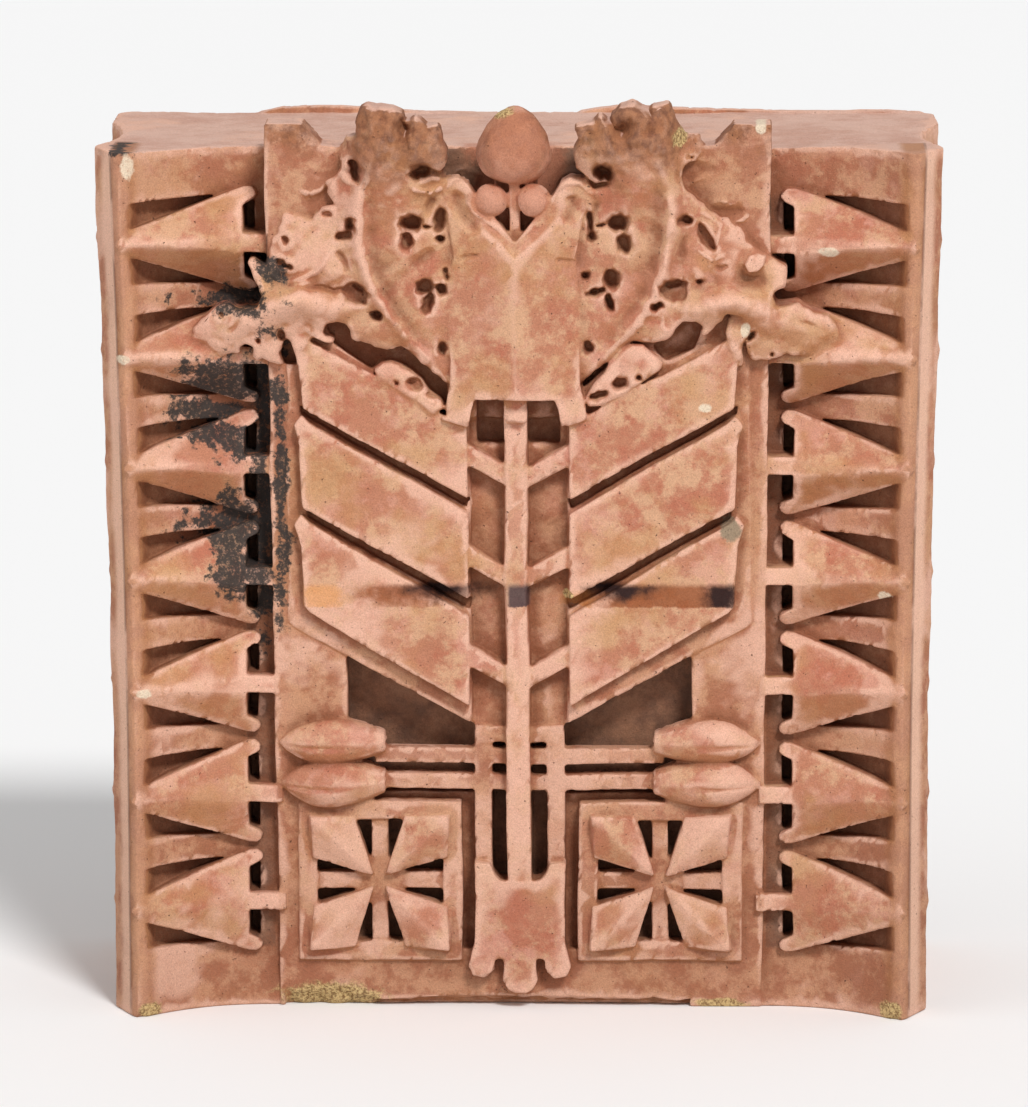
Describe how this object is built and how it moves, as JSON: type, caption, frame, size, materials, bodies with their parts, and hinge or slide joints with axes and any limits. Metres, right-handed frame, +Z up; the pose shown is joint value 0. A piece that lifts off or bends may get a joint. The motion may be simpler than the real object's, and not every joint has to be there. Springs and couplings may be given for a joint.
{
  "type": "terracotta pier capital",
  "caption": "Moulded terracotta capital block for a pier, with a coved front, rows of folded darts, a chevron plate and a crest of leaves.",
  "frame": {"origin": "middle of the underside, halfway across the width and halfway through the depth of the block, not counting the leaves", "axes": "+Z up, from the underside to the top bed; +Y from the carved front to the plain back, so the front faces -Y; +X to the right as one looks at the front"},
  "size_m": [0.458, 0.2307, 0.5017],
  "materials": {
    "terracotta": "unglazed, matt, with a mottled salmon and tan slip, soot and chipped arrises"
  },
  "bodies": {
    "root": {"pier_capital": "terracotta"}
  },
  "joints": []
}
